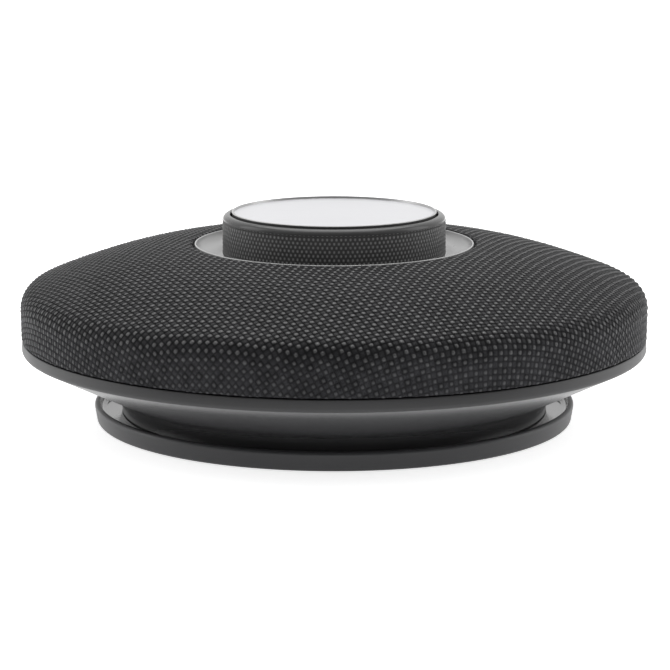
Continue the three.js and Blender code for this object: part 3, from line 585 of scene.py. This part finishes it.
MATERIALS = {
    "fabric": fabric_material(),
    "knurl": knurl_material(),
    "satin_black": moulded_material("satin_black", (0.016, 0.016, 0.018), (0.020, 0.020, 0.022), 0.38, 0.46),
    "band_black": moulded_material("band_black", (0.008, 0.008, 0.009), (0.011, 0.011, 0.012), 0.42, 0.5),
    "gloss_black": moulded_material(
        "gloss_black", (0.046, 0.046, 0.048), (0.052, 0.052, 0.054), 0.25, 0.27, 0, shine=1.0),
    "polished_black": moulded_material("polished_black", 0.042, 0.05, 0.14, 0.2, 0, 0.1, 0.3),
    # the grey of the dish inside the foot is painted light, lighter than the black foot, standing in for the
    # light the dish gets too little of under the body
    "dish_gloss": moulded_material("dish_gloss", 0.17, 0.19, 0.05, 0.09, 0, 0.4),
    "inner_black": moulded_material("inner_black", 0.018, 0.026, 0.55, 0.75, 0.00002),
    "silver_trim": metal_material("silver_trim", 0.42, 0.47, 0.26, 0.32, grain=0.000001, metallic=0.5),
    "plate": metal_material(
        "plate", (0.67, 0.67, 0.69), (0.70, 0.70, 0.72), 0.26, 0.32, grain=0.000001, metallic=0.4),
    "rubber": moulded_material("rubber", 0.014, 0.022, 0.72, 0.9, 0.00003),
    "steel": metal_material("steel", 0.42, 0.52, 0.25, 0.42),
    "magnet": metal_material("magnet", 0.08, 0.13, 0.4, 0.6),
    "paper": moulded_material("paper", 0.010, 0.018, 0.8, 0.95, 0.00006),
    "board": board_material(),
    "cell": moulded_material("cell_sleeve", (0.03, 0.14, 0.4), (0.04, 0.17, 0.45), 0.25, 0.4, 0.00001, 0.3),
    "bearing": moulded_material("bearing", 0.66, 0.72, 0.35, 0.5),
    "lamp": moulded_material("lamp", 0.62, 0.7, 0.15, 0.3),
    "flex": moulded_material("flex_film", (0.3, 0.14, 0.03), (0.36, 0.18, 0.05), 0.3, 0.45),
}


def dress_faces(obj, material, chosen):
    """Gives a second material to the faces whose middle (radius, height) is chosen."""
    obj.data.materials.append(material)
    index = len(obj.data.materials) - 1
    for face in obj.data.polygons:
        middle = face.center / MM
        if chosen(math.hypot(middle.x, middle.y), middle.z):
            face.material_index = index


def finish_piece(obj, slot_name, body, *replaced, material=None):
    obj.data.materials.clear()
    obj.data.materials.append(material or MATERIALS[slot_name])
    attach(obj, body)
    if replaced:
        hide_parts(*replaced)
    return obj


for part in frame["record"]["subparts"]:
    node = frame["nodes"][part["node"]]
    if not node.data.materials:
        node.data.materials.append(None)
    for index in range(len(node.data.materials)):
        node.data.materials[index] = MATERIALS[part["material_slot"]]


# ------------------------------------------------------------------ fabric cover

def weave_grid(first, last, pitch):
    """A flat square grid between two circles: each point's place (i, j), and the quads between the points."""
    reach = int(last / pitch) + 3
    index = np.arange(-reach, reach + 1)
    i, j = np.meshgrid(index, index, indexing="ij")
    middles = np.hypot(i[:-1, :-1] + 0.5, j[:-1, :-1] + 0.5) * pitch
    cells = np.stack(np.nonzero((middles > first) & (middles < last)), 1)
    quads = np.stack([cells, cells + (1, 0), cells + (1, 1), cells + (0, 1)], 1)
    flat_index = quads[..., 0] * len(index) + quads[..., 1]
    used, faces = np.unique(flat_index, return_inverse=True)
    return index[used // len(index)], index[used % len(index)], faces.reshape(flat_index.shape), reach


def wandered(gi, gj, pitch, reach, random):
    """The grid's flat places in millimetres, with each yarn shifted a little sideways along its length."""
    yarns = np.arange(-4 * reach, 4 * reach + 1)
    wander = YARN_WANDER * (2 * random.random((2, len(yarns))) - 1)
    shift_fall = np.interp((gi - gj) / QUADS_PER_FLOAT, yarns, wander[0])
    shift_rise = np.interp((gi + gj) / QUADS_PER_FLOAT, yarns, wander[1])
    flat_x = gi * pitch + (shift_rise + shift_fall) / math.sqrt(2)
    flat_y = gj * pitch + (shift_rise - shift_fall) / math.sqrt(2)
    return flat_x, flat_y


def float_height(u, v):
    """How far the cloth stands up: each float is a soft oval bump along its own yarn."""
    height = np.zeros(len(u))
    for shift, lift, sense in ((0.0, HIGH_FLOAT_LIFT, 1), (0.5, LOW_FLOAT_LIFT, -1)):
        du = (u - shift) - np.round(u - shift)
        dv = (v - shift) - np.round(v - shift)
        along_axis = (du - sense * dv) / math.sqrt(2)
        across_axis = (du + sense * dv) / math.sqrt(2)
        bump = np.exp(-(along_axis / FLOAT_LENGTH) ** 2 - (across_axis / FLOAT_WIDTH) ** 2)
        height = np.maximum(height, lift * bump)
    return height


def make_fabric():
    """Cloth stretched over the dome: a flat square grid, wrapped on the dome by the distance from its middle,
    and raised on each float of the weave."""
    line = fabric_line()
    steps = np.linalg.norm(np.diff(line, axis=0), axis=1)
    along = np.concatenate([[0], np.cumsum(steps)])
    first = RIM_RADIUS - RIM_TUCK
    last = first + along[-1]
    pitch = FLOAT_SPACING / QUADS_PER_FLOAT
    gi, gj, faces, reach = weave_grid(first, last, pitch)
    random = np.random.default_rng(7)
    flat_x, flat_y = wandered(gi, gj, pitch, reach, random)

    # points at a cut edge have under four quads, and go onto that edge's circle
    uses = np.bincount(faces.ravel(), minlength=len(gi))
    placed = np.hypot(flat_x, flat_y)
    inner_edge = (uses < 4) & (placed < (first + last) / 2)
    outer_edge = (uses < 4) & ~inner_edge
    placed[inner_edge] = first
    placed[outer_edge] = last
    bearing = np.arctan2(flat_y, flat_x) + WEAVE_TURN

    s = placed - first
    r = np.interp(s, along, line[:, 0])
    z = np.interp(s, along, line[:, 1])
    reach_each_way = 0.4
    ahead = np.minimum(s + reach_each_way, along[-1])
    behind = np.maximum(s - reach_each_way, 0)
    dr = np.interp(ahead, along, line[:, 0]) - np.interp(behind, along, line[:, 0])
    dz = np.interp(ahead, along, line[:, 1]) - np.interp(behind, along, line[:, 1])
    size = np.hypot(dr, dz)
    out_r, out_z = -dz / size, dr / size

    u, v = gi / QUADS_PER_FLOAT, gj / QUADS_PER_FLOAT
    height = float_height(u, v)
    height *= 1 + LIFT_VARIATION * (random.random(len(gi)) - 0.5)
    height *= np.interp(z, [WALL_TOP - 2, WALL_TOP + 5], [WALL_FLATTENING, 1])
    fade = np.clip(s / 3.4, 0.1, 1) * np.clip((along[-1] - s) / 2.0, 0.1, 1)
    lift = height * fade - CLOTH_SINK
    x = (r + out_r * lift) * np.cos(bearing)
    y = (r + out_r * lift) * np.sin(bearing)
    points = np.stack([x, y, z + out_z * lift], 1)
    obj = new_object("fabric_weave", points, faces.tolist(), uv=np.stack([u, v], 1))
    finish_piece(obj, "fabric", "housing", "fabric_cover")
    return obj


# ------------------------------------------------------------------ lower casing and foot

def make_casing():
    """The lower casing: a satin band, a glossy cone and a neck, hollow, with a passage at the back."""
    outer = casing_line()
    inner_neck = NECK_RADIUS - CASING_WALL
    rise = CASING_WALL / math.cos(CONE_SLOPE)
    floor = FOOT_FLOOR + PIECE_GAP
    shelf = SEAM_Z - SHELF_DROP
    inside = [
        (SEAM_RADIUS - 2.4, shelf),
        (SHELF_INNER_RADIUS, shelf),
        (SHELF_INNER_RADIUS, cone_height(SHELF_INNER_RADIUS) + rise),
        (inner_neck + 2, cone_height(inner_neck + 2) + rise),
        (inner_neck, floor + 4.4),
        (inner_neck - 2, floor + 2.4),
        (0, floor + 2.4),
    ]
    casing = lathe("casing_shell", [(0, floor)] + outer + inside, FINE_SIDES)
    filled = lathe("filled", [(0, floor)] + outer + [(0, SEAM_Z)], FINE_SIDES)
    add_port_passage(casing, filled, shelf)
    sharpen(casing, 30)
    finish_piece(casing, "gloss_black", "housing", "lower_casing")
    dress_faces(casing, MATERIALS["band_black"], lambda r, z: r > BODY_RADIUS - 4 and z > BAND_BOTTOM - 0.4)
    return casing


def add_port_passage(casing, filled, top):
    """Thickens the casing behind the rear panel, within its filled outline, and cuts the panel's opening."""
    low, high = span("rear_panel")
    half = high.x + PIECE_GAP
    frame_width = 3
    low_corner = (-half - frame_width, 76, 13)
    block = box_object("block", low_corner, (half + frame_width, BODY_RADIUS + 1, top))
    boolean(block, filled, "INTERSECT")
    boolean(casing, block, "UNION")
    low_corner = (-half, 70, low.z - PIECE_GAP)
    passage = rounded_box("passage", low_corner, (half, BODY_RADIUS + 2, high.z + PIECE_GAP), 1.1)
    boolean(casing, passage, "DIFFERENCE")


def make_foot():
    """The dished foot, with a groove underneath that holds the rubber ring."""
    lip_inner = FOOT_LIP_RADIUS - 1.6
    groove = FOOT_BOTTOM + 1.4
    foot = lathe("foot_dish", fillet([
        (0, FOOT_BOTTOM, 0),
        (PAD_INNER_RADIUS - PIECE_GAP, FOOT_BOTTOM, 0.2),
        (PAD_INNER_RADIUS - PIECE_GAP, groove, 0),
        (PAD_OUTER_RADIUS + PIECE_GAP, groove, 0),
        (PAD_OUTER_RADIUS + PIECE_GAP, FOOT_BOTTOM, 0.2),
        (FOOT_LIP_RADIUS - 0.9, FOOT_BOTTOM, 0.9),
        (FOOT_LIP_RADIUS, FOOT_LIP_TOP, 1.0),
        (lip_inner, FOOT_LIP_TOP, 0.35),
        (lip_inner - 0.3, FOOT_FLOOR, 1.6),
        (0, FOOT_FLOOR, 0),
    ]), FINE_SIDES)
    finish_piece(foot, "satin_black", "housing", "foot_base")
    # the inside of the dish gets the lighter grey that is painted light
    dress_faces(foot, MATERIALS["dish_gloss"], lambda r, z: r < lip_inner and z > FOOT_FLOOR - 0.1)
    return foot


def make_pad():
    """The rubber ring, with shallow concentric grooves on the side that grips the table."""
    low, high = 0.0, top_of("foot_pad")
    outline = [(PAD_INNER_RADIUS, high, 0), (PAD_INNER_RADIUS, low, 0.3)]
    grooves = 5
    width = PAD_OUTER_RADIUS - PAD_INNER_RADIUS
    for k in range(1, grooves + 1):
        middle = PAD_INNER_RADIUS + width * k / (grooves + 1)
        outline += [
            (middle - 0.5, low, 0.1),
            (middle - 0.3, low + 0.35, 0),
            (middle + 0.3, low + 0.35, 0),
            (middle + 0.5, low, 0.1),
        ]
    outline += [(PAD_OUTER_RADIUS, low, 0.3), (PAD_OUTER_RADIUS, high, 0)]
    pad = lathe("rubber_ring", fillet(outline, 3))
    return finish_piece(pad, "rubber", "housing", "foot_pad")


# ------------------------------------------------------------------ recess and dial

def make_dish():
    """The pale bowl round the dial: a quarter of an ellipse from its floor out to its rim, over a skirt."""
    run = DISH_RADIUS - 0.5 - DISH_FLOOR_RADIUS
    rise = DISH_RIM_Z - DISH_FLOOR
    bowl = []
    for k in range(13):
        angle = k / 12 * math.pi / 2
        bowl.append((DISH_FLOOR_RADIUS + run * math.sin(angle), DISH_FLOOR + rise * (1 - math.cos(angle))))
    rim = fillet([
        (DISH_RADIUS - 0.5, DISH_RIM_Z - 0.2, 0),
        (DISH_RADIUS - 0.45, DISH_RIM_Z + 0.05, 0.12),
        (DISH_RADIUS, DISH_RIM_Z + 0.05, 0.15),
        (DISH_RADIUS, DISH_FLOOR - 0.5, 0),
    ])
    skirt = 38.2
    under = DISH_FLOOR - 2
    outline = [(26, DISH_FLOOR)] + bowl[:-1] + rim + [
        (skirt, under),
        (skirt, DISH_BOTTOM),
        (skirt - 2, DISH_BOTTOM),
        (skirt - 2, under),
        (26, under),
    ]
    dish = lathe("dish_bowl", outline, FINE_SIDES)
    return finish_piece(dish, "silver_trim", "housing", "recess_dish")


def dial_outline():
    """The dial's outline, the first and last of its points on the knurl, and the height of its shoulder."""
    edge_radius = DIAL_RADIUS - KNURL_DEPTH / 2
    edge_width = edge_radius - DIAL_OPENING_RADIUS
    edge_height = 1.4
    shoulder = DIAL_TOP - edge_height
    knurl_top = shoulder - 0.25
    rows = 30
    outline = [(DIAL_RADIUS - 0.5, DIAL_BOTTOM)]
    outline += [(DIAL_RADIUS - 0.12, DIAL_BOTTOM + 0.12), (DIAL_RADIUS, DIAL_BOTTOM + 0.5)]
    first_row = len(outline)
    for k in range(rows + 1):
        outline.append((DIAL_RADIUS, KNURL_BOTTOM + (knurl_top - KNURL_BOTTOM) * k / rows))
    last_row = len(outline) - 1
    for k in range(9):
        angle = k / 8 * math.pi / 2
        outline.append((
            edge_radius - edge_width * 0.92 * (1 - math.cos(angle)),
            shoulder + edge_height * math.sin(angle),
        ))
    hub_top = 52
    web_bottom = 50.2
    outline += [
        (DIAL_OPENING_RADIUS, DIAL_TOP - 0.12),
        (DIAL_OPENING_RADIUS, hub_top),
        (HUB_BORE_RADIUS, hub_top),
        (HUB_BORE_RADIUS, HUB_BOTTOM),
        (HUB_RADIUS, HUB_BOTTOM),
        (HUB_RADIUS, web_bottom),
        (DIAL_OPENING_RADIUS - 0.3, web_bottom),
        (DIAL_OPENING_RADIUS - 0.3, DIAL_BOTTOM),
    ]
    return outline, first_row, last_row, shoulder


def press_knurl(dial, sides, first_row, last_row):
    """Presses the gaps between the nubs into the grip, and returns each point's height in knurl rows."""
    co = np.array([v.co for v in dial.data.vertices]) / MM
    angle = np.arctan2(co[:, 1], co[:, 0])
    ring = np.arange(len(co)) // sides
    grip = (ring > first_row) & (ring < last_row)
    column = angle / (2 * math.pi) * KNURL_COLUMNS
    row = (co[:, 2] - KNURL_BOTTOM) / KNURL_ROW
    across = np.cos(2 * math.pi * row)
    checker = across * np.cos(2 * math.pi * column)
    nub = (1 - KNURL_CHECKER_SHARE) * np.abs(across) + KNURL_CHECKER_SHARE * checker
    depth = np.where(grip, KNURL_DEPTH * (1 - np.clip(nub, 0, 1)), 0)
    factor = 1 - depth / np.hypot(co[:, 0], co[:, 1])
    co[:, 0] *= factor
    co[:, 1] *= factor
    dial.data.vertices.foreach_set("co", (co * MM).ravel())
    dial.data.update()
    plain = 0.25
    last_nub = math.floor(row[grip].max())
    return np.where(grip, row, np.where(row < 1, -plain, last_nub + plain))


def make_dial():
    """The grip ring with a knurl of small staggered nubs, under a smooth rounded top edge."""
    sides = KNURL_COLUMNS * 6
    outline, first_row, last_row, shoulder = dial_outline()
    dial = lathe("dial_ring", outline, sides)
    row = press_knurl(dial, sides, first_row, last_row)
    write_knurl_map(dial, sides, row)
    finish_piece(dial, "satin_black", "volume_dial", "volume_knob", material=MATERIALS["knurl"])
    dress_faces(dial, MATERIALS["polished_black"], lambda r, z: z > shoulder - 0.02 or r < DIAL_RADIUS - 1)
    return dial


def write_knurl_map(dial, sides, row):
    """A UV map counted in knurl columns and rows; the last face of each ring runs on past the full turn."""
    faces = dial.data.polygons
    corners = np.zeros(len(dial.data.loops), np.int64)
    dial.data.loops.foreach_get("vertex_index", corners)
    starts = np.zeros(len(faces), np.int64)
    faces.foreach_get("loop_start", starts)
    step = corners % sides
    widest = np.maximum.reduceat(step, starts)
    totals = np.diff(np.append(starts, len(corners)))
    closing = np.repeat(widest == sides - 1, totals)
    step = np.where(closing & (step == 0), sides, step)
    layer = dial.data.uv_layers.new(name="knurl")
    columns = step * KNURL_COLUMNS / sides
    layer.data.foreach_set("uv", np.stack([columns, row[corners]], 1).astype(np.float32).ravel())


def make_top_plate():
    """A silver skin with a low raised lip, on a black core that shows as a dark line round its side."""
    flat_z = PLATE_TOP - PLATE_LIP_HEIGHT
    lip_inner = PLATE_RADIUS - 0.65
    rounding = 0.15
    core_top = PLATE_TOP - 0.2
    outline = fillet([
        (0, PLATE_BOTTOM, 0),
        (PLATE_RADIUS - 0.1, PLATE_BOTTOM, 0),
        (PLATE_RADIUS - 0.1, core_top, 0),
        (PLATE_RADIUS, core_top, 0.03),
        (PLATE_RADIUS, PLATE_TOP, rounding),
        (lip_inner + 0.12, PLATE_TOP, 0.1),
        (lip_inner, flat_z, 0.12),
        (20, flat_z, 0),
        (0, flat_z, 0),
    ])
    plate = lathe("disc_plate", outline)
    finish_piece(plate, "plate", "press_plate", "top_plate")
    dress_faces(plate, MATERIALS["inner_black"], lambda r, z: z < core_top - 0.01 and r > lip_inner + 0.1)
    dress_faces(plate, MATERIALS["silver_trim"], lambda r, z: z > flat_z + 0.03 and r > lip_inner - 0.02)
    return plate


# ------------------------------------------------------------------ small pieces

def make_screw_heads():
    for number in range(1, 5):
        node = f"foot_screw_{number}"
        screw = bevelled_copy(node, f"foot_screw_fine_{number}", 0.18)
        finish_piece(screw, "steel", "housing", node)


def make_rear():
    panel = bevelled_copy("rear_panel", "port_panel", 0.15)
    finish_piece(panel, "satin_black", "housing", "rear_panel")
    for label in ("power", "pairing"):
        button = bevelled_copy(f"{label}_button", f"{label}_cap", 0.35, 4)
        finish_piece(button, "rubber", f"{label}_key", f"{label}_button")
    socket = bevelled_copy("usb_socket", "socket_shell", 0.06, 2)
    finish_piece(socket, "steel", "housing", "usb_socket")


make_fabric()
make_casing()
make_foot()
make_pad()
make_dish()
make_dial()
make_top_plate()
make_screw_heads()
make_rear()


# ------------------------------------------------------------------ camera, floor and light

CAMERA_TARGET = Vector((0, 0, 0.0242))
CAMERA_DISTANCE = 0.792
CAMERA_RISE = math.radians(11.15)
CAMERA_LENS = 147


def make_camera():
    data = bpy.data.cameras.new("camera")
    data.lens = CAMERA_LENS
    data.sensor_width = 36
    data.shift_x = 0.0012
    data.clip_start = 0.01
    camera = bpy.data.objects.new("camera", data)
    away = Vector((0, -math.cos(CAMERA_RISE), math.sin(CAMERA_RISE)))
    camera.location = CAMERA_TARGET + away * CAMERA_DISTANCE
    camera.rotation_euler = (math.pi / 2 - CAMERA_RISE, 0, 0)
    bpy.context.scene.collection.objects.link(camera)
    bpy.context.scene.camera = camera


def make_floor():
    size = 12
    floor = new_object("floor", [(x * 1000, y * 1000, 0) for x, y in (
        (-size, -size), (size, -size), (size, size), (-size, size))], [(0, 1, 2, 3)])
    g = Graph("pale_floor")
    g.base(g.ramp(g.noise(2, 2), [(0.3, 0.88), (0.7, 0.9)]))
    g.rough(g.spread(g.noise(6, 2), 0.55, 0.65))
    g.shader.inputs["Emission Color"].default_value = (1, 1, 1, 1)
    g.shader.inputs["Emission Strength"].default_value = 0.75
    floor.data.materials.append(g.material)


def make_light(name, location, size, power, target=(0, 0, 0.03)):
    data = bpy.data.lights.new(name, "AREA")
    data.shape = "RECTANGLE"
    data.size, data.size_y = size
    data.energy = power
    light = bpy.data.objects.new(name, data)
    light.location = location
    direction = Vector(target) - Vector(location)
    light.rotation_euler = direction.to_track_quat("-Z", "Y").to_euler()
    bpy.context.scene.collection.objects.link(light)


def make_world():
    """White behind, above and to the sides, and darker towards the front, where the photographer stands."""
    world = bpy.data.worlds.new("studio")
    world.use_nodes = True
    tree = world.node_tree
    background = tree.nodes["Background"]
    coordinates = tree.nodes.new("ShaderNodeTexCoord")
    dot = tree.nodes.new("ShaderNodeVectorMath")
    dot.operation = "DOT_PRODUCT"
    dot.inputs[1].default_value = (0, 0.8, 0.6)
    remap = tree.nodes.new("ShaderNodeMapRange")
    remap.inputs["From Min"].default_value = -1
    remap.inputs["From Max"].default_value = 1
    ramp = tree.nodes.new("ShaderNodeValToRGB")
    stops = ramp.color_ramp.elements
    for place, shade in ((0.28, 0.18), (0.5, 0.55)):
        stops.new(place).color = (shade, shade, shade, 1)
    stops[0].position = 0.1
    stops[0].color = (0.12, 0.12, 0.12, 1)
    stops[-1].position = 0.68
    stops[-1].color = (1, 1, 1, 1)
    tree.links.new(coordinates.outputs["Generated"], dot.inputs[0])
    tree.links.new(dot.outputs["Value"], remap.inputs["Value"])
    tree.links.new(remap.outputs["Result"], ramp.inputs["Fac"])
    tree.links.new(ramp.outputs["Color"], background.inputs["Color"])
    background.inputs["Strength"].default_value = 0.9
    bpy.context.scene.world = world


make_camera()
make_floor()
make_world()
make_light("top", (0, 0.25, 0.9), (0.9, 0.9), 5)
make_light("left", (-0.9, 0.1, 0.35), (0.5, 0.7), 1.5)
make_light("right", (0.9, 0.1, 0.35), (0.5, 0.7), 1.5)
make_light("front", (0, -0.9, 0.06), (0.8, 0.1), 0.3)
bpy.context.scene.view_settings.view_transform = "Standard"
